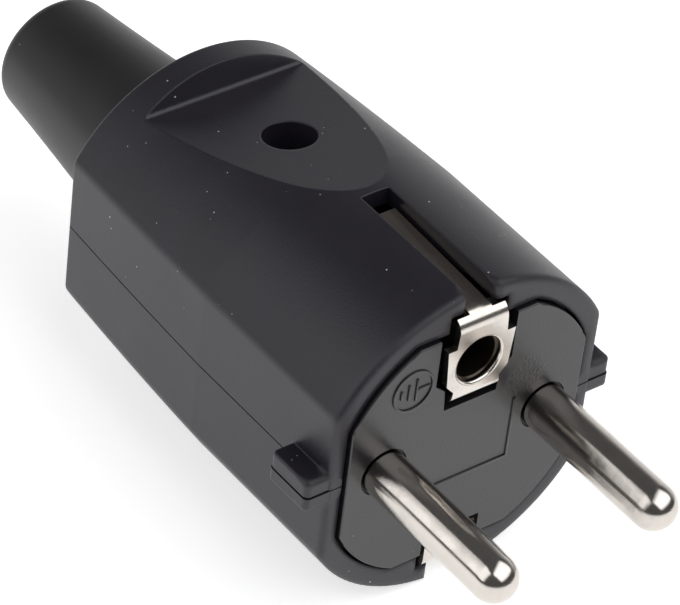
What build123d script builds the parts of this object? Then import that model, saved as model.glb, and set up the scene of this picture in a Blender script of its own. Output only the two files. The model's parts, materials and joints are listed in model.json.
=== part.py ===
from build123d import *
import os

# Grounded plug, rewirable, with two round pins, a female earth contact and side earth contacts.
# Millimetres. The origin is the centre of the contact face, midway between the pins.
# X runs to the right seen from the front, Y runs into the body, Z is up towards the earth hole.

# pins
pin_r = 2.4
pin_spacing = 19.0
pin_length = 19.0
pin_root_r = 2.6
pin_root_y = 0.15
pin_bore_r = 2.65
collar_r = 3.05
collar_y = 7.95
collar_l = 1.85
stub_end_y = 13.0

# casing, both halves together
body_r = 17.8
body_flat = 15.66
rear_r = 16.5
rear_flat = 14.53
rim_y = 0.4
taper_y = 21.4
taper_mid_y = 33.0
taper_mid_share = 0.4
body_y = 45.1
wall = 2.0
edge_soft = 1.6
rim_round = 0.4
rear_round = 0.4
lip_y = 2.6
groove_y = 5.0
rib_y = 39.7
sleeve_seat_y = 41.0
sleeve_seat_l = 1.9
cable_way_r = 6.0
seam_d = 0.2
seam_w = 0.14

# grip lugs on the parting plane
lug_front = 0.55
lug_back = 6.2
upper_lug_x = 18.15
lower_lug_x = 18.2
upper_lug_z = 1.8
lower_lug_z = 1.6

# contact carrier
plate_r = 15.25
plate_flat_x = 13.85
plate_flat_z = 13.6
plate_gap = 0.28
flange_r = 16.5
flange_flat_x = 14.65
flange_flat_z = 14.0
plate_t = 2.65
flange_back_y = 4.95
boss_back_y = 9.9
earth_boss_back_y = 13.95
pin_boss_r = 3.95
earth_boss_r = 4.3
channel_y = 1.7
earth_z = 10.0
earth_hole_r = 2.58
socket_r = 3.1
socket_bore_r = 2.42
socket_length = 14.0

# earth strap, a bent strip
strap_t = 0.8
strap_face_y = -0.5
strap_side_z = 15.5
strap_tip_z = 16.45
strap_tip_y = 15.4
strap_w = 2.6
slot_w = 3.3
slot_mouth_r = 0.7
slot_end = 17.0
strap_back_y = strap_face_y + strap_t

# terminals
terminal_y = 9.95
terminal_l = 8.2
earth_terminal_y = 2.6
earth_terminal_z = -4.6
stub_r = 1.75

# finger scoop in the upper half
scoop_front_y = 18.0
scoop_front_z = 17.79
scoop_mid = (30.0, 15.56)
scoop_back = (41.05, 13.8)
scoop_wall_lean = 0.31

# casing screw and nut
screw_y = 30.3
screw_access_r = 2.75
post_r = 3.9
seat_z = 6.0
screw_way_r = 1.75
nut_half = 2.75
nut_pocket_z = -12.6

# cable clamp and bend sleeve
clamp_y = 37.2
clamp_half = 2.2
clamp_x = 9.4
clamp_screw_way_r = 1.3
saddle_half = 1.6
clamp_bar_half = 2.2
cable_r = 4.5
sleeve_base_r = 9.35
sleeve_mid_r = 7.87
sleeve_end_r = 6.65
sleeve_end_y = 69.9
sleeve_flange_r = 10.2
sleeve_neck_r = 7.9


def front(y):
    """Plane across the plug at length y, with local axes X and Z."""
    return Plane.XZ.offset(-y)


def side_line(start_y, front_x, rear_x, end_y=body_y):
    """Side of the body in plan: straight to the start of the taper, then a shallow arc to the rear."""
    mid_x = front_x - taper_mid_share * (front_x - rear_x)
    Line((front_x, start_y), (front_x, taper_y))
    ThreePointArc((front_x, taper_y), (mid_x, taper_mid_y), (rear_x, end_y))


# outer form of the two halves together: a turned body with two side flats
with BuildPart() as casing_form:
    with BuildSketch(Plane.XY):
        with BuildLine():
            Line((0, rim_y), (body_r, rim_y))
            side_line(rim_y, body_r, rear_r)
            Line((rear_r, body_y), (0, body_y))
            Line((0, body_y), (0, rim_y))
        make_face()
    revolve(axis=Axis.Y)
    with BuildSketch(Plane.XY):
        with BuildLine():
            Line((0, rim_y - 1), (body_flat, rim_y - 1))
            side_line(rim_y - 1, body_flat, rear_flat)
            Line((rear_flat, body_y), (0, body_y))
            mirror(about=Plane.YZ)
        make_face()
    extrude(amount=body_r + 1, both=True, mode=Mode.INTERSECT)
    long_edges = casing_form.edges().filter_by(
        lambda e: abs(e.center().Z) > 5 and abs(e.center().X) > 12)
    long_edges = long_edges.filter_by(lambda e: e.bounding_box().size.Y > 5)
    fillet(long_edges, edge_soft)
    fillet(casing_form.faces().sort_by(Axis.Y)[0].edges(), rim_round)
    fillet(casing_form.faces().sort_by(Axis.Y)[-1].edges(), rear_round)
    # shallow seam where the two halves meet
    with BuildSketch(Plane.XY):
        with Locations((0, body_y / 2)):
            Rectangle(50, 60)
        with BuildLine():
            Line((0, rim_y + seam_d), (body_flat - seam_d, rim_y + seam_d))
            side_line(rim_y + seam_d, body_flat - seam_d, rear_flat - seam_d, body_y - seam_d)
            Line((rear_flat - seam_d, body_y - seam_d), (0, body_y - seam_d))
            mirror(about=Plane.YZ)
        make_face(mode=Mode.SUBTRACT)
    extrude(amount=seam_w / 2, both=True, mode=Mode.SUBTRACT)

# hollow inside both halves: main chamber, carrier groove, front opening and sleeve seat
with BuildPart() as cavity_form:
    with BuildSketch(Plane.XY):
        with BuildLine():
            Line((0, lip_y), (body_r - wall, lip_y))
            side_line(lip_y, body_r - wall, rear_r - wall)
            Line((rear_r - wall, body_y), (0, body_y))
            Line((0, body_y), (0, lip_y))
        make_face()
    revolve(axis=Axis.Y)
    with BuildSketch(Plane.XY):
        with BuildLine():
            Line((0, lip_y), (body_flat - wall, lip_y))
            side_line(lip_y, body_flat - wall, rear_flat - wall)
            Line((rear_flat - wall, body_y), (0, body_y))
            mirror(about=Plane.YZ)
        make_face()
    extrude(amount=body_r, both=True, mode=Mode.INTERSECT)
    # the chamber stops in front of the rib that traps the sleeve
    with BuildSketch(front(rib_y)):
        Rectangle(60, 60)
    extrude(amount=-12, mode=Mode.SUBTRACT)
    # groove that holds the carrier flange
    with BuildSketch(front(lip_y)):
        Circle(flange_r + 0.1)
        Rectangle(2 * (flange_flat_x + 0.1), 31.8, mode=Mode.INTERSECT)
    extrude(amount=-(groove_y - lip_y))
    # front opening round the contact plate, with a notch for the strap above and below
    with BuildSketch(front(rim_y - 1)):
        Circle(plate_r + plate_gap)
        Rectangle(2 * (plate_flat_x + plate_gap), 2 * (plate_flat_z + plate_gap), mode=Mode.INTERSECT)
        Rectangle(6.9, 31.6)
    extrude(amount=-(lip_y - rim_y + 1.2))
    # cable way, sleeve seat and rear opening
    with BuildSketch(front(39.0)):
        Circle(cable_way_r)
    extrude(amount=-3)
    with BuildSketch(front(sleeve_seat_y)):
        Circle(sleeve_flange_r + 0.15)
    extrude(amount=-sleeve_seat_l)
    with BuildSketch(front(sleeve_seat_y + 1)):
        Circle(sleeve_neck_r + 0.1)
    extrude(amount=-4)

# strap slot through the wall, seen from above, with a rounded mouth at the rim
mouth_x = slot_w / 2 + slot_mouth_r
with BuildPart() as slot_form:
    with BuildSketch(Plane.XY.offset(13.0)) as slot_plan:
        with BuildLine():
            Line((0, rim_y - 1), (mouth_x, rim_y - 1))
            Line((mouth_x, rim_y - 1), (mouth_x, rim_y))
            TangentArc((mouth_x, rim_y), (slot_w / 2, rim_y + slot_mouth_r), tangent=(-1, 0))
            Line((slot_w / 2, rim_y + slot_mouth_r), (slot_w / 2, slot_end))
            Line((slot_w / 2, slot_end), (0, slot_end))
            mirror(about=Plane.YZ)
        make_face()
    extrude(amount=6)

# finger scoop: a long shallow ramp that ends in a leaning step
with BuildPart() as scoop_form:
    with BuildSketch(Plane.YZ):
        with BuildLine():
            ThreePointArc((scoop_front_y, scoop_front_z), scoop_mid, scoop_back)
            Line(scoop_back, (scoop_back[0] + 6 * scoop_wall_lean, scoop_back[1] + 6))
            Line((scoop_back[0] + 6 * scoop_wall_lean, scoop_back[1] + 6),
                 (scoop_front_y, scoop_back[1] + 6))
            Line((scoop_front_y, scoop_back[1] + 6), (scoop_front_y, scoop_front_z))
        make_face()
    extrude(amount=14, both=True)
    step_foot = scoop_form.edges().filter_by(Axis.X)
    step_foot = step_foot.filter_by(lambda e: (e.center() - Vector(0, *scoop_back)).length < 0.1)
    fillet(step_foot, 0.5)

# upper casing, with the scoop, the strap slot and the screw post
with BuildPart() as upper_hollow:
    add(cavity_form.part)
    with BuildSketch(Plane.YZ):
        Polygon((17.0, 16.1), (40.4, 11.9), (43.5, 11.9), (43.5, 20), (17.0, 20), align=None)
    extrude(amount=20, both=True, mode=Mode.SUBTRACT)

with BuildPart() as upper_lugs:
    with BuildSketch(Plane.XY.offset(0.1)):
        with Locations((0, (lug_front + lug_back) / 2)):
            RectangleRounded(2 * upper_lug_x, lug_back - lug_front, 0.6)
            Rectangle(2 * (body_flat - 0.8), 10, mode=Mode.SUBTRACT)
    extrude(amount=upper_lug_z - 0.1)
    fillet(upper_lugs.faces().filter_by(Plane.XY).group_by(Axis.Z)[-1].edges().filter_by(
        lambda e: abs(e.center().X) > body_flat), 0.3)

with BuildPart() as upper_casing:
    add(casing_form.part)
    add(upper_hollow.part, mode=Mode.SUBTRACT)
    split(bisect_by=Plane.XY, keep=Keep.TOP)
    with BuildSketch(Plane.XY):
        with Locations((0, screw_y)):
            Circle(post_r)
    extrude(amount=14.6)
    add(scoop_form.part, mode=Mode.SUBTRACT)
    add(slot_form.part, mode=Mode.SUBTRACT)
    with BuildSketch(Plane.XY.offset(seat_z)):
        with Locations((0, screw_y)):
            Circle(screw_access_r)
    extrude(amount=14, mode=Mode.SUBTRACT)
    with BuildSketch(Plane.XY):
        with Locations((0, screw_y)):
            Circle(screw_way_r)
    extrude(amount=seat_z + 1, mode=Mode.SUBTRACT)
    add(upper_lugs.part)

# lower casing, with the nut post, the clamp posts and the saddle under the cable
with BuildPart() as lower_lugs:
    with BuildSketch(Plane.XY.offset(-0.1)):
        with Locations((0, (lug_front + lug_back) / 2)):
            RectangleRounded(2 * lower_lug_x, lug_back - lug_front + 0.2, 0.6)
            Rectangle(2 * (body_flat - 0.8), 10, mode=Mode.SUBTRACT)
    extrude(amount=-(lower_lug_z - 0.1))
    fillet(lower_lugs.faces().filter_by(Plane.XY).group_by(Axis.Z)[0].edges().filter_by(
        lambda e: abs(e.center().X) > body_flat), 0.3)

with BuildPart() as lower_casing:
    add(casing_form.part)
    add(cavity_form.part, mode=Mode.SUBTRACT)
    split(bisect_by=Plane.XY, keep=Keep.BOTTOM)
    # post for the casing screw
    with BuildSketch(Plane.XY):
        with Locations((0, screw_y)):
            Circle(post_r)
    extrude(amount=-16.4)
    # saddle plate and the two clamp posts
    with BuildSketch(front(clamp_y - saddle_half)):
        Circle(body_r - wall + 0.4)
        with Locations((0, -8.5)):
            Rectangle(22, 15, mode=Mode.INTERSECT)
        Circle(cable_r + 0.1, mode=Mode.SUBTRACT)
    extrude(amount=-2 * saddle_half)
    with BuildSketch(Plane.XY.offset(1.0)):
        with Locations((-clamp_x, clamp_y), (clamp_x, clamp_y)):
            Circle(clamp_half)
    extrude(amount=-12.5)
    add(mirror(slot_form.part, about=Plane.XY, mode=Mode.PRIVATE), mode=Mode.SUBTRACT)
    # screw way and six-sided nut pocket, open below
    with BuildSketch(Plane.XY):
        with Locations((0, screw_y)):
            Circle(screw_way_r)
    extrude(amount=-14, mode=Mode.SUBTRACT)
    with BuildSketch(Plane.XY.offset(nut_pocket_z)):
        with Locations((0, screw_y)):
            RegularPolygon(nut_half + 0.1, 6, major_radius=False)
    extrude(amount=-8, mode=Mode.SUBTRACT)
    with BuildSketch(Plane.XY.offset(1.0)):
        with Locations((-clamp_x, clamp_y), (clamp_x, clamp_y)):
            Circle(clamp_screw_way_r)
    extrude(amount=-10, mode=Mode.SUBTRACT)
    add(lower_lugs.part)

# contact carrier: face plate, flange in the casing groove, and a boss behind each contact
with BuildPart() as contact_carrier:
    with BuildSketch(front(0)):
        Circle(plate_r)
        Rectangle(2 * plate_flat_x, 2 * plate_flat_z, mode=Mode.INTERSECT)
    extrude(amount=-plate_t)
    fillet(contact_carrier.faces().sort_by(Axis.Y)[0].edges(), 0.15)
    with BuildSketch(front(plate_t)):
        Circle(flange_r)
        Rectangle(2 * flange_flat_x, 2 * flange_flat_z, mode=Mode.INTERSECT)
    extrude(amount=-(flange_back_y - plate_t))
    with BuildSketch(front(flange_back_y)):
        with Locations((-pin_spacing / 2, 0), (pin_spacing / 2, 0)):
            Circle(pin_boss_r)
        with Locations((0, earth_z)):
            Circle(earth_boss_r)
        with Locations((-pin_spacing / 2, 5.0), (pin_spacing / 2, 5.0)):
            Rectangle(1.6, 6)
        with Locations((-pin_spacing / 2, -5.5), (pin_spacing / 2, -5.5)):
            Rectangle(1.6, 7)
    extrude(amount=-(boss_back_y - flange_back_y))
    with BuildSketch(front(flange_back_y)):
        with Locations((0, earth_z)):
            Circle(earth_boss_r)
    extrude(amount=-(earth_boss_back_y - flange_back_y))
    # window for the face of the strap, with notches beside its neck
    with BuildSketch(front(-1)):
        with BuildLine():
            Polyline((-3.1, 4.7), (3.1, 4.7), (3.3, 7.2), (4.5, 8.2), (4.5, 14.6),
                     (-4.5, 14.6), (-4.5, 8.2), (-3.3, 7.2), (-3.1, 4.7))
        make_face()
        with Locations((0, -12.9)):
            Rectangle(6.8, 3.6)
    extrude(amount=-3.65, mode=Mode.SUBTRACT)
    # channel behind the plate for the middle of the strap and its terminal
    with BuildSketch(front(channel_y)):
        with Locations((0, -4.5)):
            Rectangle(7.2, 20.4)
    extrude(amount=-12, mode=Mode.SUBTRACT)
    # pin bores with a seat for the collar, and the bore for the earth socket
    with BuildSketch(front(-1)):
        with Locations((-pin_spacing / 2, 0), (pin_spacing / 2, 0)):
            Circle(pin_bore_r)
    extrude(amount=-12, mode=Mode.SUBTRACT)
    with BuildSketch(front(collar_y - 0.05)):
        with Locations((-pin_spacing / 2, 0), (pin_spacing / 2, 0)):
            Circle(collar_r + 0.1)
    extrude(amount=-4, mode=Mode.SUBTRACT)
    with BuildSketch(front(-1)):
        with Locations((0, earth_z)):
            Circle(socket_r + 0.05)
    extrude(amount=-20, mode=Mode.SUBTRACT)

# earth strap: one strip, from the upper slot over the face, behind the plate and into the lower slot
with BuildPart() as strap_outline:
    # lugged plate on the face: its wide top edge ends half way round the bend into the slot
    with BuildSketch(front(-2)):
        with BuildLine():
            Polyline((-2.95, 5.0), (2.95, 5.0), (2.7, 7.1), (3.6, 8.1), (3.95, 12.4), (2.95, 12.4),
                     (2.8, 14.4), (2.8, 16.5), (-2.8, 16.5), (-2.8, 14.4), (-2.95, 12.4),
                     (-3.95, 12.4), (-3.6, 8.1), (-2.7, 7.1), (-2.95, 5.0))
        make_face()
    extrude(amount=-(2 + strap_back_y))
    # wide lower tab
    with BuildSketch(front(-2)):
        with Locations((0, -13.7)):
            Rectangle(6.2, 5.6)
    extrude(amount=-2.65)
    # narrow spring arms in the slots, and the wider middle behind the plate
    with BuildSketch(front(strap_back_y - 0.1)):
        Rectangle(strap_w, 34)
    extrude(amount=-16.8)
    with BuildSketch(front(strap_back_y - 0.1)):
        with Locations((0, -3.1)):
            Rectangle(5.0, 18.5)
    extrude(amount=-3.8)

with BuildPart() as earth_strap:
    with BuildSketch(Plane.YZ):
        with BuildLine():
            FilletPolyline(
                (strap_tip_y, strap_tip_z), (strap_face_y, strap_side_z), (strap_face_y, 5.5), (1.75, 5.5),
                (1.75, -11.6), (-0.2, -11.6), (-0.2, -strap_side_z), (strap_tip_y, -strap_tip_z),
                radius=[1.5, 1.1, 0.35, 0.35, 1.1, 1.5])
            offset(amount=strap_t, side=Side.LEFT)
        make_face()
    extrude(amount=5, both=True)
    add(strap_outline.part, mode=Mode.INTERSECT)
    with BuildSketch(front(-2)):
        with Locations((0, earth_z)):
            Circle(earth_hole_r)
    extrude(amount=-3.2, mode=Mode.SUBTRACT)
    with BuildSketch(front(1.0)):
        with Locations((0, earth_terminal_z)):
            Circle(1.25)
    extrude(amount=-2.0, mode=Mode.SUBTRACT)
    lip = earth_strap.edges().filter_by(GeomType.CIRCLE).filter_by(
        lambda e: abs(e.radius - earth_hole_r) < 0.01 and e.center().Y < 0)
    fillet(lip, 0.3)

# earth socket: a slit tube behind the hole, which grips the pin of the other system
slit_l = 9.02
slit_y = strap_back_y + socket_length - slit_l / 2 + 0.01
with BuildPart() as earth_socket:
    with BuildSketch(front(strap_back_y)):
        with Locations((0, earth_z)):
            Circle(socket_r)
            Circle(socket_bore_r, mode=Mode.SUBTRACT)
    extrude(amount=-socket_length)
    with BuildSketch(Plane.XY.offset(earth_z)):
        with Locations((-socket_r, slit_y), (socket_r, slit_y)):
            Rectangle(2.6, slit_l)
    extrude(amount=0.4, both=True, mode=Mode.SUBTRACT)

# pins: turned, with a domed end, a thicker root, a seating collar and a stub for the terminal
with BuildPart() as left_pin:
    with BuildSketch(Plane((-pin_spacing / 2, 0, 0))):
        with BuildLine():
            RadiusArc((0, -pin_length), (pin_r, pin_r - pin_length), -pin_r)
            Polyline((pin_r, pin_r - pin_length), (pin_r, pin_root_y), (pin_root_r, pin_root_y),
                     (pin_root_r, collar_y), (collar_r, collar_y), (collar_r, collar_y + collar_l),
                     (stub_r, collar_y + collar_l), (stub_r, stub_end_y), (0, stub_end_y), (0, -pin_length))
        make_face()
    revolve(axis=Axis((-pin_spacing / 2, 0, 0), (0, 1, 0)))

with BuildPart() as right_pin:
    mirror(left_pin.part, about=Plane.YZ)

# brass terminal: a block with a wire way along Y and a tapped hole for its screw
with BuildPart() as terminal_form:
    with BuildSketch(front(0)):
        RectangleRounded(6.8, 7.4, 0.6)
    extrude(amount=-terminal_l)
    with BuildSketch(front(-1)):
        Circle(stub_r + 0.05)
    extrude(amount=-(terminal_l + 2), mode=Mode.SUBTRACT)
    with BuildSketch(Plane.XY):
        with Locations((0, terminal_l - 2.6)):
            Circle(1.65)
    extrude(amount=5, mode=Mode.SUBTRACT)

with BuildPart() as left_terminal:
    with Locations((-pin_spacing / 2, terminal_y, 0)):
        add(terminal_form.part)

with BuildPart() as right_terminal:
    with Locations((pin_spacing / 2, terminal_y, 0)):
        add(terminal_form.part)

with BuildPart() as earth_terminal:
    with Locations((0, earth_terminal_y, earth_terminal_z)):
        add(terminal_form.part)


def slotted_screw(shank_r, shank_l, head_r, head_h):
    """Cheese-head screw that points down from a seat at Z = 0, with a slot across its head."""
    with BuildPart() as screw:
        with BuildSketch(Plane.XY):
            Circle(shank_r)
        extrude(amount=-shank_l)
        chamfer(screw.faces().sort_by(Axis.Z)[0].edges(), 0.3)
        with BuildSketch(Plane.XY):
            Circle(head_r)
        extrude(amount=head_h)
        chamfer(screw.faces().sort_by(Axis.Z)[-1].edges(), 0.25)
        with BuildSketch(Plane.XY.offset(head_h)):
            Rectangle(2 * head_r + 1, 0.9)
        extrude(amount=-0.5 * head_h, mode=Mode.SUBTRACT)
    return screw.part


terminal_screw_form = slotted_screw(1.6, 5.0, 2.7, 1.9)
clamp_screw_form = slotted_screw(1.25, 14.6, 2.1, 1.7)
casing_screw_form = slotted_screw(1.45, seat_z - nut_pocket_z + 2.6, 2.6, 2.2)

with BuildPart() as terminal_screws:
    with Locations((-pin_spacing / 2, terminal_y + terminal_l - 2.6, 5.6),
                   (pin_spacing / 2, terminal_y + terminal_l - 2.6, 5.6),
                   (0, earth_terminal_y + terminal_l - 2.6, earth_terminal_z + 5.6)):
        add(terminal_screw_form)

# rivet that holds the earth terminal on the strap
with BuildPart() as earth_rivet:
    with BuildSketch(Plane((0, 0, earth_terminal_z))):
        with BuildLine():
            Polyline((0, 1.78), (1.2, 1.78), (1.2, 2.58), (stub_r, 2.58), (stub_r, 5.4), (0, 5.4),
                     (0, 1.78))
        make_face()
    revolve(axis=Axis((0, 0, earth_terminal_z), (0, 1, 0)))

# screw and nut that hold the two halves together
with BuildPart() as casing_screw:
    with Locations((0, screw_y, seat_z + 0.02)):
        add(casing_screw_form)

with BuildPart() as casing_nut:
    with BuildSketch(Plane.XY.offset(nut_pocket_z - 0.04)):
        with Locations((0, screw_y)):
            RegularPolygon(nut_half, 6, major_radius=False)
            Circle(1.5, mode=Mode.SUBTRACT)
    extrude(amount=-2.36)

# cable clamp: an arched bar drawn down on the cable by two screws
with BuildPart() as cable_clamp:
    with BuildSketch(front(clamp_y - clamp_bar_half)):
        with Locations((0, 3.9)):
            RectangleRounded(2 * (clamp_x + clamp_half), 5.4, 1.0)
        Circle(cable_r + 0.1, mode=Mode.SUBTRACT)
    extrude(amount=-2 * clamp_bar_half)
    with BuildSketch(Plane.XY):
        with Locations((-clamp_x, clamp_y), (clamp_x, clamp_y)):
            Circle(1.4)
    extrude(amount=12, mode=Mode.SUBTRACT)

with BuildPart() as clamp_screws:
    with Locations((-clamp_x, clamp_y, 6.62), (clamp_x, clamp_y, 6.62)):
        add(clamp_screw_form)

# bend sleeve: a rubber cone with a neck and a flange trapped between the halves
flange_front_y = sleeve_seat_y + 0.1
flange_rear_y = sleeve_seat_y + 1.75
sleeve_base_y = body_y + 0.05
with BuildPart() as bend_sleeve:
    with BuildSketch(Plane.XY) as sleeve_half:
        with BuildLine():
            Polyline((cable_r, sleeve_end_y), (cable_r, flange_front_y), (sleeve_flange_r, flange_front_y),
                     (sleeve_flange_r, flange_rear_y), (sleeve_neck_r, flange_rear_y),
                     (sleeve_neck_r, sleeve_base_y), (sleeve_base_r, sleeve_base_y))
            ThreePointArc((sleeve_base_r, sleeve_base_y), (sleeve_mid_r, 57.5), (sleeve_end_r, sleeve_end_y))
            Line((sleeve_end_r, sleeve_end_y), (cable_r, sleeve_end_y))
        make_face()
        end_corners = sleeve_half.vertices().filter_by(lambda v: v.Y > sleeve_end_y - 0.1)
        fillet(end_corners.sort_by(Axis.X)[-1], 1.3)
        end_corners = sleeve_half.vertices().filter_by(lambda v: v.Y > sleeve_end_y - 0.1)
        fillet(end_corners.sort_by(Axis.X)[0], 0.5)
    revolve(axis=Axis.Y)

pieces = {
    "upper_casing": upper_casing,
    "lower_casing": lower_casing,
    "contact_carrier": contact_carrier,
    "left_pin": left_pin,
    "right_pin": right_pin,
    "left_terminal": left_terminal,
    "right_terminal": right_terminal,
    "earth_terminal": earth_terminal,
    "terminal_screws": terminal_screws,
    "earth_strap": earth_strap,
    "earth_socket": earth_socket,
    "earth_rivet": earth_rivet,
    "casing_screw": casing_screw,
    "casing_nut": casing_nut,
    "cable_clamp": cable_clamp,
    "clamp_screws": clamp_screws,
    "bend_sleeve": bend_sleeve,
}
os.makedirs("parts", exist_ok=True)
for name, piece in pieces.items():
    piece.part.label = name
    export_step(piece.part, f"parts/{name}.step")
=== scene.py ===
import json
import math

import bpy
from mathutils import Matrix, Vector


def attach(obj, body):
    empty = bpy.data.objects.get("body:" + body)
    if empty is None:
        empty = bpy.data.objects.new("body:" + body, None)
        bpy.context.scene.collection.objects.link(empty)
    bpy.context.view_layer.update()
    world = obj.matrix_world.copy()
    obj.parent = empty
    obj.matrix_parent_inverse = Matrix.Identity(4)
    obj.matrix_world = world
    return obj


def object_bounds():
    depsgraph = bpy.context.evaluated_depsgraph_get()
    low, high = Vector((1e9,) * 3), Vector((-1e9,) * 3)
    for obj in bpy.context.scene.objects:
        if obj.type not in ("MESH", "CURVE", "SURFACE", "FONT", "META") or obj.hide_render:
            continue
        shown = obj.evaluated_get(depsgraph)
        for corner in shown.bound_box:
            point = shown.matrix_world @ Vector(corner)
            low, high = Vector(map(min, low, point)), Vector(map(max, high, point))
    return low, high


bl_info = {
    "name": "Grounded plug",
    "version": (1, 0, 0),
    "blender": (4, 5, 0),
    "location": "View3D > Sidebar > Plug",
    "description": "Finishes for a packed grounded plug, raised signs on its face, and a studio",
    "category": "Object",
}

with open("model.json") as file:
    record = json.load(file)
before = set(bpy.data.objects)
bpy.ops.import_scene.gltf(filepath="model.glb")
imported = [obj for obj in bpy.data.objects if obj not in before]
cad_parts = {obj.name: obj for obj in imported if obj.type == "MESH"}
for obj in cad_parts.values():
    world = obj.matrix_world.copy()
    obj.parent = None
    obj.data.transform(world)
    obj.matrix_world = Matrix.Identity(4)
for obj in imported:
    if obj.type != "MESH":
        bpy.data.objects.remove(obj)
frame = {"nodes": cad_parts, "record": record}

MM = 0.001
BODY = "root"
QUARTER_TURN = math.pi / 2

# the box of the solids, before anything is added
CAD_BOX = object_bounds()

# width of the camera's sensor, in Blender's own millimetres
SENSOR_WIDTH = 36.0

# how far a raised sign is sunk into the face plate, and how its front edges are rounded
SINK = 0.05 * MM
SIGN_ROUNDING = 0.05 * MM

# the softboxes stand round this point
LIT_POINT = Vector((0, 20 * MM, 0))

# the floor is lit up to the first distance from the origin, and dimmed to a share of that from the second
TABLE_BRIGHT_TO, TABLE_DIM_FROM = 120 * MM, 380 * MM
TABLE_DIM_SHARE = 0.25

DUST_COLOUR = (0.45, 0.45, 0.46)
# painted shade: near black colour of a pin's root, for the shade in the thin gap round it
ROOT_SHADE_COLOUR = (0.012, 0.011, 0.010)  # what is seen in the thin gap round a pin's root


class PlugCasing(bpy.types.PropertyGroup):
    """Finish of the two casing halves."""

    colour: bpy.props.FloatVectorProperty(
        name="Colour", description="Colour of the moulded plastic", subtype="COLOR",
        default=(0.0100, 0.0084, 0.0140), min=0, max=1)
    roughness: bpy.props.FloatProperty(
        name="Roughness", description="Roughness of the satin surface", default=0.42, min=0, max=1)
    grain: bpy.props.FloatProperty(
        name="Grain", description="Size of the mould's fine grain", default=0.22 * MM, min=0.01 * MM,
        max=2 * MM, unit="LENGTH")
    dust: bpy.props.FloatProperty(
        name="Dust", description="Share of the surface that has a speck of dust", default=0.5, min=0, max=1)


class PlugContacts(bpy.types.PropertyGroup):
    """Finish of the pins and of the earth strap."""

    pin_colour: bpy.props.FloatVectorProperty(
        name="Pin colour", description="Colour of the plated pins", subtype="COLOR",
        default=(0.61, 0.57, 0.53), min=0, max=1)
    strap_colour: bpy.props.FloatVectorProperty(
        name="Strap colour", description="Colour of the plated strip", subtype="COLOR",
        default=(0.66, 0.62, 0.575), min=0, max=1)
    turning_pitch: bpy.props.FloatProperty(
        name="Turning pitch", description="Distance between the fine turning marks on a pin",
        default=0.10 * MM, min=0.01 * MM, max=1 * MM, unit="LENGTH")


class PlugSigns(bpy.types.PropertyGroup):
    """Raised signs on the face plate."""

    sign_x: bpy.props.FloatProperty(
        name="Sign X", description="Sideways place of the earth sign", default=-7.27 * MM, unit="LENGTH")
    sign_z: bpy.props.FloatProperty(
        name="Sign height", description="Height of the earth sign", default=8.98 * MM, unit="LENGTH")
    sign_radius: bpy.props.FloatProperty(
        name="Sign radius", description="Radius of the ring round the earth sign", default=2.25 * MM,
        min=0.5 * MM, unit="LENGTH")
    line_width: bpy.props.FloatProperty(
        name="Line width", description="Width of a raised line", default=0.26 * MM, min=0.05 * MM,
        unit="LENGTH")
    line_height: bpy.props.FloatProperty(
        name="Line height", description="How far a line stands out of the face", default=0.15 * MM,
        min=0.01 * MM, unit="LENGTH")


class PlugStudio(bpy.types.PropertyGroup):
    """Camera and light."""

    azimuth: bpy.props.FloatProperty(
        name="Azimuth", description="Direction of the camera round the plug", subtype="ANGLE",
        default=math.radians(-41.216))
    elevation: bpy.props.FloatProperty(
        name="Elevation", description="Height of the camera above the horizon", subtype="ANGLE",
        default=math.radians(39.235))
    roll: bpy.props.FloatProperty(
        name="Roll", description="Turn of the camera about its own axis", subtype="ANGLE",
        default=math.radians(-7.232))
    distance: bpy.props.FloatProperty(
        name="Distance", description="From the camera to the point that it looks at", default=422.14 * MM,
        min=1 * MM, unit="LENGTH")
    aim: bpy.props.FloatVectorProperty(
        name="Aim", description="The point that the camera looks at", subtype="XYZ", unit="LENGTH",
        default=(2.178 * MM, 22.471 * MM, -0.572 * MM))
    lens: bpy.props.FloatProperty(
        name="Lens", description="Focal length", default=229.44, min=10, unit="CAMERA")
    light: bpy.props.FloatProperty(
        name="Light", description="Strength of the softboxes", default=1.0, min=0)
    table: bpy.props.FloatProperty(
        name="Table glow", description="How brightly the floor is lit from below", default=0.60, min=0)
    tent_front: bpy.props.FloatProperty(
        name="Tent, front", description="Brightness of the tent in front, near the floor", default=0.08,
        min=0)
    tent_back: bpy.props.FloatProperty(
        name="Tent, back", description="Brightness of the tent behind, near the floor", default=0.95, min=0)
    tent_top: bpy.props.FloatProperty(
        name="Tent, top", description="Brightness of the tent overhead", default=0.10, min=0)


# node groups that more than one material uses

def new_group(name, inputs, outputs):
    """An empty shader node group with its sockets, and its two end nodes."""
    group = bpy.data.node_groups.new(name, "ShaderNodeTree")
    for label, kind, value in inputs:
        socket = group.interface.new_socket(name=label, in_out="INPUT", socket_type=kind)
        if value is not None:
            socket.default_value = value
    for label, kind in outputs:
        group.interface.new_socket(name=label, in_out="OUTPUT", socket_type=kind)
    return group, group.nodes.new("NodeGroupInput"), group.nodes.new("NodeGroupOutput")


def math_node(tree, operation, first, second=None):
    """A Math node; each operand is a socket or a number."""
    node = tree.nodes.new("ShaderNodeMath")
    node.operation = operation
    for slot, operand in enumerate((first, second)):
        if operand is None:
            continue
        if isinstance(operand, (int, float)):
            node.inputs[slot].default_value = operand
        else:
            tree.links.new(operand, node.inputs[slot])
    return node.outputs[0]


def ramp_node(tree, value, low, high):
    """Smooth step of a value from 0 at low to 1 at high."""
    node = tree.nodes.new("ShaderNodeMapRange")
    node.interpolation_type = "SMOOTHSTEP"
    node.inputs["From Min"].default_value = low
    node.inputs["From Max"].default_value = high
    tree.links.new(value, node.inputs["Value"])
    return node.outputs["Result"]


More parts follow.
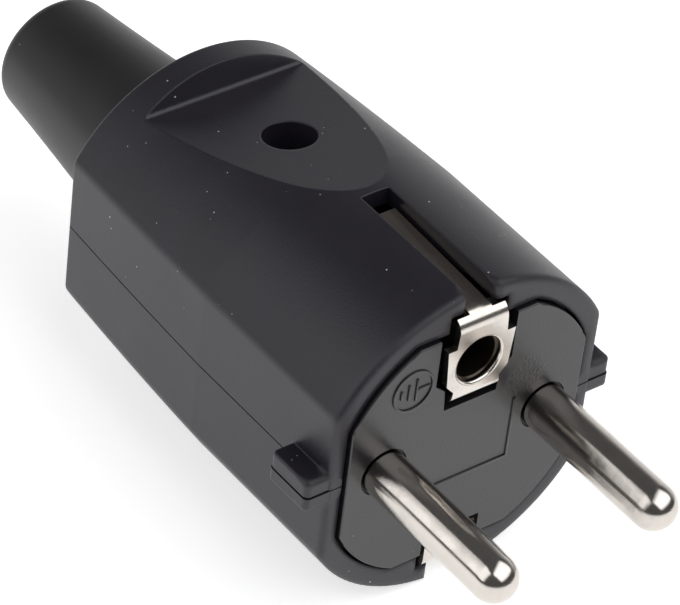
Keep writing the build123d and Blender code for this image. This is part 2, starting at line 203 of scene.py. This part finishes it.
def noise_node(tree, vector, scale, detail=2.0, roughness=0.5):
    """Noise in object space, in cycles per metre."""
    node = tree.nodes.new("ShaderNodeTexNoise")
    node.inputs["Scale"].default_value = scale
    node.inputs["Detail"].default_value = detail
    node.inputs["Roughness"].default_value = roughness
    tree.links.new(vector, node.inputs["Vector"])
    return node.outputs["Fac"]


def build_grain_group():
    """Fine grain of a mould: a height for bump and a slow value that varies the gloss."""
    group, start, end = new_group(
        "Mould grain",
        [("Vector", "NodeSocketVector", None), ("Size", "NodeSocketFloat", 0.12 * MM)],
        [("Height", "NodeSocketFloat"), ("Blotch", "NodeSocketFloat")])
    per_metre = math_node(group, "DIVIDE", 1.0, start.outputs["Size"])
    fine = group.nodes.new("ShaderNodeTexNoise")
    fine.inputs["Detail"].default_value = 3.0
    group.links.new(start.outputs["Vector"], fine.inputs["Vector"])
    group.links.new(per_metre, fine.inputs["Scale"])
    group.links.new(fine.outputs["Fac"], end.inputs["Height"])
    slow = noise_node(group, start.outputs["Vector"], 90.0, 3.0, 0.6)
    group.links.new(slow, end.inputs["Blotch"])
    return group


def build_dust_group():
    """Scattered specks of dust: a mask, from cells that hold one small spot each."""
    group, start, end = new_group(
        "Dust specks",
        [("Vector", "NodeSocketVector", None), ("Amount", "NodeSocketFloat", 0.5)],
        [("Mask", "NodeSocketFloat")])
    drift = ramp_node(group, noise_node(group, start.outputs["Vector"], 55.0, 2.0, 0.5), 0.42, 0.62)
    share = math_node(group, "MULTIPLY", start.outputs["Amount"], drift)
    masks = []
    for cells_per_metre, spot in ((520.0, 0.050), (900.0, 0.055)):
        cells = group.nodes.new("ShaderNodeTexVoronoi")
        cells.inputs["Scale"].default_value = cells_per_metre
        group.links.new(start.outputs["Vector"], cells.inputs["Vector"])
        near = math_node(group, "LESS_THAN", cells.outputs["Distance"], spot)
        pick = group.nodes.new("ShaderNodeSeparateColor")
        group.links.new(cells.outputs["Color"], pick.inputs["Color"])
        chosen = math_node(group, "LESS_THAN", pick.outputs["Red"], share)
        masks.append(math_node(group, "MULTIPLY", near, chosen))
    group.links.new(math_node(group, "MAXIMUM", masks[0], masks[1]), end.inputs["Mask"])
    return group


GROUPS = {}


def shared_group(name):
    """The shared node group of that name, built once."""
    builders = {"grain": build_grain_group, "dust": build_dust_group}
    if name not in GROUPS:
        GROUPS[name] = builders[name]()
    return GROUPS[name]


def place_group(tree, name, vector, **values):
    """A shared group in a material, fed with a vector and its own values."""
    node = tree.nodes.new("ShaderNodeGroup")
    node.node_tree = shared_group(name)
    tree.links.new(vector, node.inputs["Vector"])
    for label, value in values.items():
        node.inputs[label].default_value = value
    return node


def mix_colour(tree, mask, first, second):
    """Mix of two colours by a mask; each is a socket or a colour."""
    node = tree.nodes.new("ShaderNodeMix")
    node.data_type = "RGBA"
    tree.links.new(mask, node.inputs["Factor"])
    # a Mix node's own colour sockets are its inputs 6 and 7 and its output 2
    for slot, colour in ((6, first), (7, second)):
        if isinstance(colour, (tuple, list)):
            node.inputs[slot].default_value = (*colour[:3], 1.0)
        else:
            tree.links.new(colour, node.inputs[slot])
    return node.outputs[2]


def new_material(name):
    """A material with its shader and an Object coordinate socket."""
    material = bpy.data.materials.new(name)
    material.use_nodes = True
    tree = material.node_tree
    shader = tree.nodes["Principled BSDF"]
    where = tree.nodes.new("ShaderNodeTexCoord")
    return material, tree, shader, where.outputs["Object"]


def split_axes(tree, vector):
    """The X, Y and Z sockets of a vector."""
    node = tree.nodes.new("ShaderNodeSeparateXYZ")
    tree.links.new(vector, node.inputs["Vector"])
    return node.outputs


def soft_edges(tree, where):
    """Normals of softly moulded edges: wide round the casing's front rim, sharp along its seam, else fine."""
    fine_radius, rim_radius = 0.30 * MM, 1.20 * MM
    parts = split_axes(tree, where)
    off_seam = ramp_node(tree, math_node(tree, "ABSOLUTE", parts["Z"]), 0.6 * MM, 1.6 * MM)
    behind_rim = ramp_node(tree, parts["Y"], 1.4 * MM, 2.6 * MM)
    rim = math_node(tree, "MULTIPLY", off_seam, math_node(tree, "SUBTRACT", 1.0, behind_rim))
    fine = math_node(tree, "MULTIPLY", off_seam, fine_radius)
    node = tree.nodes.new("ShaderNodeBevel")
    node.samples = 8
    radius = math_node(tree, "ADD", math_node(tree, "MULTIPLY", rim, rim_radius - fine_radius), fine)
    tree.links.new(radius, node.inputs["Radius"])
    return node.outputs["Normal"]


def bump(tree, shader, height, strength, distance, normal=None):
    """Bump of a height socket into the shader's normal."""
    node = tree.nodes.new("ShaderNodeBump")
    if normal is not None:
        tree.links.new(normal, node.inputs["Normal"])
    node.inputs["Strength"].default_value = strength
    node.inputs["Distance"].default_value = distance
    tree.links.new(height, node.inputs["Height"])
    tree.links.new(node.outputs["Normal"], shader.inputs["Normal"])


def varied_roughness(tree, shader, blotch, low, high):
    """Roughness that drifts slowly between two values."""
    node = tree.nodes.new("ShaderNodeMapRange")
    node.inputs["From Min"].default_value = 0.3
    node.inputs["From Max"].default_value = 0.7
    node.inputs["To Min"].default_value = low
    node.inputs["To Max"].default_value = high
    tree.links.new(blotch, node.inputs["Value"])
    tree.links.new(node.outputs["Result"], shader.inputs["Roughness"])


def scuffed_spot(tree, where, x, z, radius):
    """Height of a rough spot on the face plate, strongest at its middle, in units of the grain's height."""
    relief = 2.6
    parts = split_axes(tree, where)
    across = math_node(tree, "SUBTRACT", parts["X"], x)
    along = math_node(tree, "SUBTRACT", parts["Z"], z)
    across_squared = math_node(tree, "MULTIPLY", across, across)
    along_squared = math_node(tree, "MULTIPLY", along, along)
    away = math_node(tree, "SQRT", math_node(tree, "ADD", across_squared, along_squared))
    mask = math_node(tree, "SUBTRACT", 1.0, ramp_node(tree, away, 0.45 * radius, radius))
    pits = ramp_node(tree, noise_node(tree, where, 3200.0, 3.0, 0.6), 0.40, 0.60)
    return math_node(tree, "MULTIPLY", math_node(tree, "MULTIPLY", mask, pits), relief)


def moulded_plastic(name, colour, roughness, grain, depth, dust, sheen, rounded=False, scuff=None):
    """Black moulded plastic with grain, faint handling patches and dust."""
    material, tree, shader, where = new_material(name)
    shader.inputs["Specular IOR Level"].default_value = sheen
    texture = place_group(tree, "grain", where, Size=grain)
    specks = place_group(tree, "dust", where, Amount=dust)
    handled = tuple(1.18 * c for c in colour)
    base = mix_colour(tree, ramp_node(tree, texture.outputs["Blotch"], 0.40, 0.65), tuple(colour), handled)
    dusty = mix_colour(tree, specks.outputs["Mask"], base, DUST_COLOUR)
    tree.links.new(dusty, shader.inputs["Base Color"])
    varied_roughness(tree, shader, texture.outputs["Blotch"], roughness - 0.03, roughness + 0.03)
    height = texture.outputs["Height"]
    if scuff is not None:
        height = math_node(tree, "ADD", height, scuffed_spot(tree, where, *scuff))
    bump(tree, shader, height, 0.5, depth, soft_edges(tree, where) if rounded else None)
    return material


def turned_metal(name, colour, pitch):
    """Plated pin: fine turning rings, light handling marks, and painted shade on its root inside the face
    plate.
    """
    material, tree, shader, where = new_material(name)
    parts = split_axes(tree, where)
    rings = math_node(tree, "SINE", math_node(tree, "MULTIPLY", parts["Y"], 2 * math.pi / pitch))
    drift = noise_node(tree, where, 500.0, 3.0, 0.6)
    turned = math_node(tree, "MULTIPLY", rings, drift)
    height = math_node(tree, "ADD", turned, noise_node(tree, where, 3500.0))
    smudge = noise_node(tree, where, 160.0, 4.0, 0.65)
    shade = tuple(0.80 * c for c in colour)
    plated = mix_colour(tree, ramp_node(tree, smudge, 0.45, 0.75), tuple(colour), shade)
    # painted shade: the root turns near black where it goes into the face plate
    root = ramp_node(tree, parts["Y"], -0.06 * MM, 0.10 * MM)
    tree.links.new(mix_colour(tree, root, plated, ROOT_SHADE_COLOUR), shader.inputs["Base Color"])
    shader.inputs["Metallic"].default_value = 1.0
    varied_roughness(tree, shader, smudge, 0.09, 0.18)
    bump(tree, shader, height, 0.30, 0.008 * MM)
    return material


def rolled_metal(name, colour, low, high):
    """Plated or plain sheet and bar: rolling lines along one way, with soft smudges."""
    material, tree, shader, where = new_material(name)
    stretch = tree.nodes.new("ShaderNodeMapping")
    stretch.inputs["Scale"].default_value = (6.0, 1.0, 0.6)
    tree.links.new(where, stretch.inputs["Vector"])
    lines = noise_node(tree, stretch.outputs["Vector"], 900.0, 4.0, 0.7)
    smudge = noise_node(tree, where, 220.0, 3.0, 0.6)
    shade = tuple(0.78 * c for c in colour)
    tree.links.new(mix_colour(tree, ramp_node(tree, smudge, 0.48, 0.72), tuple(colour), shade),
                   shader.inputs["Base Color"])
    shader.inputs["Metallic"].default_value = 1.0
    varied_roughness(tree, shader, smudge, low, high)
    bump(tree, shader, lines, 0.15, 0.006 * MM)
    return material


def plated_strip_shaded_inside(name, colour, tarnish_and_shade):
    """Plated strip: bright where it lies open on the face; inside the plug brown tarnish with painted shade,
    and near black painted shade in the lower notch.
    """
    material, tree, shader, where = new_material(name)
    parts = split_axes(tree, where)
    smudge = noise_node(tree, where, 220.0, 3.0, 0.6)
    shade = tuple(0.86 * c for c in colour)
    bright = mix_colour(tree, ramp_node(tree, smudge, 0.45, 0.72), tuple(colour), shade)
    window_top, notch_top = -12.3 * MM, -8.0 * MM
    # painted shade: the strip turns near black in the lower notch, below the notch's top
    low = math_node(tree, "SUBTRACT", 1.0, ramp_node(tree, parts["Z"], notch_top - 1.0 * MM, notch_top))
    depth = math_node(tree, "ADD", parts["Y"], math_node(tree, "MULTIPLY", smudge, 0.6 * MM))
    depth = math_node(tree, "ADD", depth, math_node(tree, "MULTIPLY", low, 2.2 * MM))
    above_window = ramp_node(tree, parts["Z"], window_top - 0.5 * MM, window_top)
    # painted shade with brown tarnish, growing with the depth into the plug above the window
    inside = math_node(tree, "MULTIPLY", ramp_node(tree, depth, 0.9 * MM, 2.0 * MM), above_window)
    tarnish_and_painted_shade = mix_colour(tree, low, tuple(tarnish_and_shade), tuple(0.12 * c for c in tarnish_and_shade))
    tree.links.new(mix_colour(tree, inside, bright, tarnish_and_painted_shade), shader.inputs["Base Color"])
    shader.inputs["Metallic"].default_value = 1.0
    varied_roughness(tree, shader, smudge, 0.16, 0.26)
    bump(tree, shader, noise_node(tree, where, 2500.0, 3.0, 0.6), 0.15, 0.006 * MM)
    return material


def finish_node(name, material):
    """Gives a node of the frame its finished material."""
    node = frame["nodes"][name]
    node.data.materials.clear()
    node.data.materials.append(material)


# modelling helpers

def deselect_all():
    """Nothing selected and no edit mode, so that an operator acts on its own piece alone."""
    if bpy.context.object is not None and bpy.context.object.mode != "OBJECT":
        bpy.ops.object.mode_set(mode="OBJECT")
    bpy.ops.object.select_all(action="DESELECT")


def select_only(piece):
    """Selects one piece alone and makes it the active one."""
    bpy.ops.object.select_all(action="DESELECT")
    piece.select_set(True)
    bpy.context.view_layer.objects.active = piece


def unselect_mesh(mesh):
    """Unselects every vertex, edge and face of a mesh, in object mode."""
    for part in (mesh.vertices, mesh.edges, mesh.polygons):
        part.foreach_set("select", [False] * len(part))


def settle(piece):
    """Puts a piece's place into its mesh and leaves its object at the origin."""
    select_only(piece)
    bpy.ops.object.transform_apply(location=True, rotation=True, scale=True)


def outward(piece):
    """Merges doubles and turns every face outwards."""
    select_only(piece)
    bpy.ops.object.mode_set(mode="EDIT")
    bpy.ops.mesh.select_all(action="SELECT")
    bpy.ops.mesh.remove_doubles(threshold=0.001 * MM)
    bpy.ops.mesh.normals_make_consistent(inside=False)
    bpy.ops.object.mode_set(mode="OBJECT")


def raised_line(name, outline, width, height, keeps=None):
    """Turns a flat outline on the face plate into a raised line along its edge, or its kept sides."""
    outline.name = name
    settle(outline)
    bpy.ops.object.mode_set(mode="EDIT")
    bpy.ops.mesh.select_all(action="SELECT")
    bpy.ops.mesh.inset(thickness=width)
    bpy.ops.mesh.delete(type="FACE")
    if keeps is not None:
        bpy.ops.object.mode_set(mode="OBJECT")
        unselect_mesh(outline.data)
        for side in outline.data.polygons:
            side.select = not keeps(side.center)
        bpy.ops.object.mode_set(mode="EDIT")
        bpy.ops.mesh.select_mode(type="FACE")
        bpy.ops.mesh.delete(type="FACE")
    bpy.ops.mesh.select_all(action="SELECT")
    bpy.ops.transform.translate(value=(0, SINK, 0))
    bpy.ops.mesh.extrude_region_move(TRANSFORM_OT_translate={"value": (0, -height - SINK, 0)})
    bpy.ops.object.mode_set(mode="OBJECT")
    round_front_edges(outline, height)
    return outline


def raised_bar(name, centre, length, width, height, turn):
    """A straight raised line on the face plate: a small plane, extruded towards the socket."""
    bpy.ops.mesh.primitive_plane_add(
        size=1, location=(centre[0], SINK, centre[1]), rotation=(QUARTER_TURN, turn, 0))
    bar = bpy.context.object
    bar.name = name
    bar.scale = (length, width, 1)
    settle(bar)
    bpy.ops.object.mode_set(mode="EDIT")
    bpy.ops.mesh.select_all(action="SELECT")
    bpy.ops.mesh.extrude_region_move(TRANSFORM_OT_translate={"value": (0, -height - SINK, 0)})
    bpy.ops.object.mode_set(mode="OBJECT")
    round_front_edges(bar, height)
    return bar


def round_front_edges(piece, height):
    """Softens the edges round a raised line's front face, but not the seams across it."""
    mesh = piece.data
    on_front = [vertex.co.y < -0.99 * height for vertex in mesh.vertices]
    sides = {}
    for face in mesh.polygons:
        for pair in face.edge_keys:
            sides.setdefault(pair, []).append(abs(face.normal.y) > 0.5)
    unselect_mesh(mesh)
    for edge in mesh.edges:
        corner = sides.get(tuple(sorted(edge.vertices)), [])
        edge.select = all(on_front[i] for i in edge.vertices) and True in corner and False in corner
    bpy.ops.object.mode_set(mode="EDIT")
    bpy.ops.mesh.select_mode(type="EDGE")
    bpy.ops.mesh.bevel(offset=SIGN_ROUNDING, segments=2)
    bpy.ops.object.mode_set(mode="OBJECT")


def joined(name, pieces):
    """Several meshes as one piece."""
    bpy.ops.object.select_all(action="DESELECT")
    for piece in pieces:
        piece.select_set(True)
    bpy.context.view_layer.objects.active = pieces[0]
    bpy.ops.object.join()
    whole = bpy.context.object
    whole.name = name
    whole.data.name = name
    return whole


def hand_over(piece, material):
    """Finish and body of a new piece."""
    piece.data.materials.clear()
    piece.data.materials.append(material)
    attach(piece, BODY)


MATERIALS = {}


class PLUG_OT_materials(bpy.types.Operator):
    """Builds the finishes"""

    bl_idname = "plug.materials"
    bl_label = "Build the finishes"

    def execute(self, context):
        casing = context.scene.plug_casing
        contacts = context.scene.plug_contacts
        MATERIALS["casing"] = moulded_plastic(
            "Satin casing plastic", casing.colour, casing.roughness, grain=casing.grain, depth=0.040 * MM,
            dust=casing.dust, sheen=0.52, rounded=True)
        MATERIALS["carrier"] = moulded_plastic(
            "Glossy carrier plastic", (0.0085, 0.0080, 0.0096), 0.31, grain=0.45 * MM, depth=0.034 * MM,
            dust=0.2, sheen=0.66, scuff=(6.6 * MM, 4.9 * MM, 2.9 * MM))
        MATERIALS["sleeve"] = moulded_plastic(
            "Soft sleeve rubber", (0.0086, 0.0083, 0.0098), 0.42, grain=0.16 * MM, depth=0.008 * MM,
            dust=0.2, sheen=0.5)
        MATERIALS["nickel"] = turned_metal("Bright plated pin", contacts.pin_colour, contacts.turning_pitch)
        MATERIALS["nickel_strip"] = plated_strip_shaded_inside(
            "Bright plated strip", contacts.strap_colour, tarnish_and_shade=(0.40, 0.345, 0.31))
        # painted shade: the socket tube is coloured near black for the dark inside of the earth hole
        MATERIALS["earth_socket"] = rolled_metal("Socket tube in painted shade", (0.10, 0.085, 0.07), 0.35, 0.45)
        MATERIALS["brass"] = rolled_metal("Machined brass", (0.72, 0.52, 0.24), 0.26, 0.38)
        MATERIALS["steel"] = rolled_metal("Zinc-plated steel", (0.55, 0.55, 0.54), 0.30, 0.42)
        return {"FINISHED"}


class PLUG_OT_finish(bpy.types.Operator):
    """Gives each node of the frame its finish"""

    bl_idname = "plug.finish"
    bl_label = "Finish the solids"

    def execute(self, context):
        for part in frame["record"]["subparts"]:
            if part["material_slot"] not in MATERIALS:
                raise RuntimeError("no finish for the slot " + part["material_slot"])
            finish_node(part["node"], MATERIALS.get(part["node"], MATERIALS[part["material_slot"]]))
        return {"FINISHED"}


class PLUG_OT_earth_sign(bpy.types.Operator):
    """Raised earth sign in a ring on the face plate"""

    bl_idname = "plug.earth_sign"
    bl_label = "Earth sign"

    def execute(self, context):
        signs = context.scene.plug_signs
        deselect_all()
        radius, width, height = signs.sign_radius, signs.line_width, signs.line_height
        bpy.ops.mesh.primitive_circle_add(
            vertices=72, radius=radius + width / 2, fill_type="NGON",
            location=(signs.sign_x, 0, signs.sign_z), rotation=(QUARTER_TURN, 0, 0))
        strokes = [raised_line("Ring", bpy.context.object, width, height)]
        # a stem, then three bars that get shorter away from it, turned a quarter
        bar_width = 0.85 * width
        stem_centre = (signs.sign_x + 0.56 * radius, signs.sign_z)
        strokes.append(raised_bar("Stem", stem_centre, 0.60 * radius, bar_width, height, 0))
        for step, share in enumerate((1.15, 0.80, 0.43)):
            centre = (signs.sign_x + (0.17 - 0.39 * step) * radius, signs.sign_z)
            length = share * radius
            strokes.append(raised_bar(f"Bar {step + 1}", centre, length, bar_width, height, QUARTER_TURN))
        sign = joined("earth_sign", strokes)
        outward(sign)
        bpy.ops.object.shade_smooth_by_angle(angle=math.radians(40))
        hand_over(sign, MATERIALS["carrier"])
        return {"FINISHED"}


class PLUG_OT_face_frame(bpy.types.Operator):
    """Raised corner line on the face plate, between the pins"""

    bl_idname = "plug.face_frame"
    bl_label = "Face frame"

    left, right = -3.1 * MM, 5.65 * MM
    low, high = -4.65 * MM, 2.55 * MM

    def is_drawn(self, middle):
        """Whether a side of the outline is drawn, by its middle: the right one and the lower one are."""
        near = 0.2 * MM
        return middle.x > self.right - near or middle.z < self.low + near

    def execute(self, context):
        signs = context.scene.plug_signs
        deselect_all()
        width, height = signs.line_width, signs.line_height
        bpy.ops.mesh.primitive_plane_add(
            size=1, location=((self.left + self.right) / 2, 0, (self.low + self.high) / 2),
            rotation=(QUARTER_TURN, 0, 0))
        outline = bpy.context.object
        outline.scale = (self.right - self.left + width, self.high - self.low + width, 1)
        corner = raised_line("face_frame", outline, width, height, keeps=self.is_drawn)
        corner.data.name = "face_frame"
        outward(corner)
        bpy.ops.object.shade_smooth_by_angle(angle=math.radians(40))
        hand_over(corner, MATERIALS["carrier"])
        return {"FINISHED"}


def softbox(name, towards, distance, width, height, radiance):
    """A rectangular light that faces the plug, with an even brightness over its whole window."""
    data = bpy.data.lights.new(name, "AREA")
    data.shape = "RECTANGLE"
    data.size, data.size_y = width, height
    data.energy = radiance * math.pi * width * height
    lamp = bpy.data.objects.new(name, data)
    bpy.context.scene.collection.objects.link(lamp)
    away = Vector(towards).normalized()
    lamp.location = LIT_POINT + away * distance
    lamp.rotation_mode = "QUATERNION"
    lamp.rotation_quaternion = (-away).to_track_quat("-Z", "Y")


def light_table(glow):
    """Pale floor that is lit from below near the plug and fades to a plain floor further out."""
    material, tree, shader, where = new_material("Pale light table")
    shader.inputs["Roughness"].default_value = 0.6
    tone = noise_node(tree, where, 12.0, 2.0, 0.5)
    pale = mix_colour(tree, tone, (0.86, 0.86, 0.86), (0.88, 0.88, 0.88))
    tree.links.new(pale, shader.inputs["Base Color"])
    reach = tree.nodes.new("ShaderNodeVectorMath")
    reach.operation = "LENGTH"
    tree.links.new(where, reach.inputs[0])
    faded = ramp_node(tree, reach.outputs["Value"], TABLE_BRIGHT_TO, TABLE_DIM_FROM)
    dimmed = mix_colour(tree, faded, (1, 1, 1), (TABLE_DIM_SHARE,) * 3)
    tree.links.new(dimmed, shader.inputs["Emission Color"])
    shader.inputs["Emission Strength"].default_value = glow
    return material


def tent(front, back, top):
    """Soft tent round the plug: bright behind it near the floor, darker in front and towards the top."""
    world = bpy.data.worlds.new("Tent")
    world.use_nodes = True
    tree = world.node_tree
    towards = tree.nodes.new("ShaderNodeTexCoord")
    parts = split_axes(tree, towards.outputs["Generated"])
    # the level direction that the bright side lies in: behind the plug, a little to the right
    bright_x, bright_y = 0.45, 0.89
    to_the_right = math_node(tree, "MULTIPLY", parts["X"], bright_x)
    behind = math_node(tree, "ADD", to_the_right, math_node(tree, "MULTIPLY", parts["Y"], bright_y))
    glow = ramp_node(tree, behind, 0.0, 0.85)
    walls = mix_colour(tree, glow, (front, front, front), (back, back, back))
    height = ramp_node(tree, parts["Z"], 0.08, 0.58)
    shade = mix_colour(tree, height, walls, (top, top, top))
    tree.links.new(shade, tree.nodes["Background"].inputs["Color"])
    return world


def photo_camera(studio):
    """A camera that looks at the aim from the photograph's side."""
    azimuth, elevation = studio.azimuth, studio.elevation
    level = Vector((math.sin(azimuth), -math.cos(azimuth), 0))
    back = level * math.cos(elevation) + Vector((0, 0, math.sin(elevation)))
    side = Vector((0, 0, 1)).cross(back).normalized()
    upright = back.cross(side)
    up = upright * math.cos(studio.roll) + side * math.sin(studio.roll)
    right = up.cross(back)
    data = bpy.data.cameras.new("camera")
    data.sensor_fit = "HORIZONTAL"
    data.sensor_width = SENSOR_WIDTH
    data.lens = studio.lens
    data.clip_start, data.clip_end = 0.01, 20.0
    camera = bpy.data.objects.new("camera", data)
    bpy.context.scene.collection.objects.link(camera)
    camera.rotation_mode = "QUATERNION"
    camera.rotation_quaternion = Matrix((right, up, back)).transposed().to_quaternion()
    camera.location = Vector(studio.aim) + back * studio.distance
    return camera


class PLUG_OT_stage(bpy.types.Operator):
    """Floor, light and camera"""

    bl_idname = "plug.stage"
    bl_label = "Stage"

    def execute(self, context):
        studio = context.scene.plug_studio
        deselect_all()
        floor_z = CAD_BOX[0].z
        bpy.ops.mesh.primitive_plane_add(size=8.0, location=(0, 0, floor_z))
        floor = bpy.context.object
        floor.name = "floor"
        floor.data.materials.append(light_table(studio.table))

        softbox("front", towards=(0.31, -0.48, 0.82), distance=0.95, width=1.50, height=1.02,
                radiance=1.85 * studio.light)
        softbox("left", towards=(-0.786, 0.235, 0.571), distance=0.90, width=0.80, height=0.85,
                radiance=1.45 * studio.light)
        context.scene.world = tent(studio.tent_front, studio.tent_back, studio.tent_top)
        context.scene.view_settings.view_transform = "Standard"
        context.scene.camera = photo_camera(studio)
        return {"FINISHED"}


class PLUG_PT_panel(bpy.types.Panel):
    """Sidebar panel of the plug"""

    bl_label = "Grounded plug"
    bl_idname = "PLUG_PT_panel"
    bl_space_type = "VIEW_3D"
    bl_region_type = "UI"
    bl_category = "Plug"

    def draw(self, context):
        for group in ("plug_casing", "plug_contacts", "plug_signs", "plug_studio"):
            settings = getattr(context.scene, group)
            for label in settings.__annotations__:
                self.layout.prop(settings, label)
        for step in STEPS:
            self.layout.operator(step)


STEPS = ("plug.materials", "plug.finish", "plug.earth_sign", "plug.face_frame", "plug.stage")
SETTINGS = (
    ("plug_casing", PlugCasing), ("plug_contacts", PlugContacts), ("plug_signs", PlugSigns),
    ("plug_studio", PlugStudio),
)
CLASSES = (
    PlugCasing, PlugContacts, PlugSigns, PlugStudio, PLUG_OT_materials, PLUG_OT_finish, PLUG_OT_earth_sign,
    PLUG_OT_face_frame, PLUG_OT_stage, PLUG_PT_panel,
)


def register():
    for kind in CLASSES:
        bpy.utils.register_class(kind)
    for name, kind in SETTINGS:
        setattr(bpy.types.Scene, name, bpy.props.PointerProperty(type=kind))


def unregister():
    for name, _ in SETTINGS:
        delattr(bpy.types.Scene, name)
    for kind in reversed(CLASSES):
        bpy.utils.unregister_class(kind)


def main():
    register()
    bpy.ops.plug.materials()
    bpy.ops.plug.finish()
    bpy.ops.plug.earth_sign()
    bpy.ops.plug.face_frame()
    bpy.ops.plug.stage()


if __name__ == "__main__":
    main()
